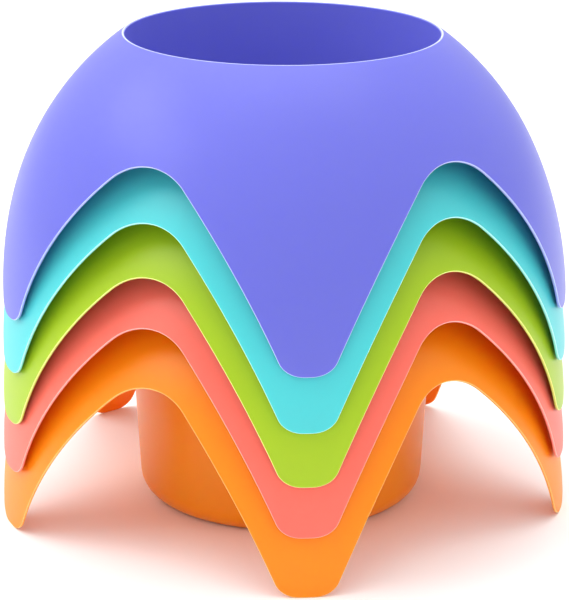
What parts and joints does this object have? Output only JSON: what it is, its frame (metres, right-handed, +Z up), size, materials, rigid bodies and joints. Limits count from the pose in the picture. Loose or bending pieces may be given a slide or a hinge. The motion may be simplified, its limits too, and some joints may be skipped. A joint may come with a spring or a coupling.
{
  "type": "nested drink holder stack",
  "caption": "Stack of nested moulded drink holders: each is a closed tapered cup well under a domed skirt cut by arches into rounded legs, and lifts straight off the one below.",
  "frame": {"origin": "on the stack's axis, at the underside of the lowest holder's well, which is level with its leg tips and the ground", "axes": "+Z up along the common axis of all holders; -Y towards the front leg, with legs and arches in line from holder to holder"},
  "size_m": [0.1394, 0.1345, 0.117],
  "materials": {
    "orange_plastic": "satin moulded plastic, coloured through",
    "pink_plastic": "satin moulded plastic, coloured through",
    "green_plastic": "satin moulded plastic, coloured through",
    "teal_plastic": "satin moulded plastic, coloured through",
    "purple_plastic": "satin moulded plastic, coloured through"
  },
  "bodies": {
    "orange": {"orange_holder": "orange_plastic"},
    "pink": {"pink_holder": "pink_plastic"},
    "green": {"green_holder": "green_plastic"},
    "teal": {"teal_holder": "teal_plastic"},
    "purple": {"purple_holder": "purple_plastic"}
  },
  "joints": [
    {"name": "pink_lift", "type": "slide", "parent": "orange", "child": "pink", "axis": [0, 0, 1], "range_m": [0, 0.06]},
    {"name": "green_lift", "type": "slide", "parent": "pink", "child": "green", "axis": [0, 0, 1], "range_m": [0, 0.06]},
    {"name": "teal_lift", "type": "slide", "parent": "green", "child": "teal", "axis": [0, 0, 1], "range_m": [0, 0.06]},
    {"name": "purple_lift", "type": "slide", "parent": "teal", "child": "purple", "axis": [0, 0, 1], "range_m": [0, 0.06]}
  ]
}
